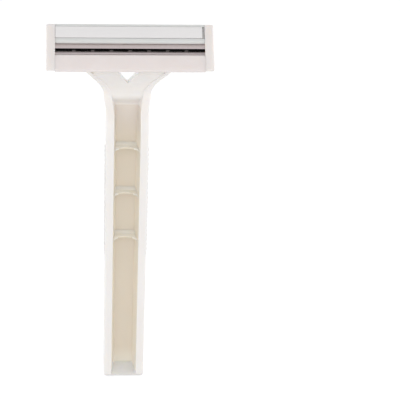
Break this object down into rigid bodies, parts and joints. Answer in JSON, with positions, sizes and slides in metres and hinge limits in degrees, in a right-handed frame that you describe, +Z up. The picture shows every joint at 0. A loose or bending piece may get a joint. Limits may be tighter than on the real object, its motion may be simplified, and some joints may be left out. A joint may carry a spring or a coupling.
{
  "type": "disposable razor",
  "caption": "Disposable safety razor: a moulded handle with grip lines and a fixed head that holds a stack of thin blades under a cap with a lubricating strip.",
  "frame": {"origin": "centre of the flat bottom end of the handle, on the razor's plane of symmetry", "axes": "+X across the blades, -Y towards the side that shaves, +Z up the handle to the head"},
  "size_m": [0.043, 0.0194, 0.1059],
  "materials": {
    "white_plastic": "injection moulded, satin, warm white",
    "cap_plastic": "injection moulded, satin, neutral white",
    "black_plastic": "injection moulded, black",
    "blade_steel": "ground stainless strip",
    "strip_polymer": "extruded water soluble polymer, dull pale grey"
  },
  "bodies": {
    "root": {"handle": "white_plastic", "head_frame": "white_plastic", "left_end_cap": "white_plastic", "right_end_cap": "white_plastic", "cap": "cap_plastic", "blade_spacer": "black_plastic", "lower_blade": "blade_steel", "upper_blade": "blade_steel", "lubricating_strip": "strip_polymer"}
  },
  "joints": []
}
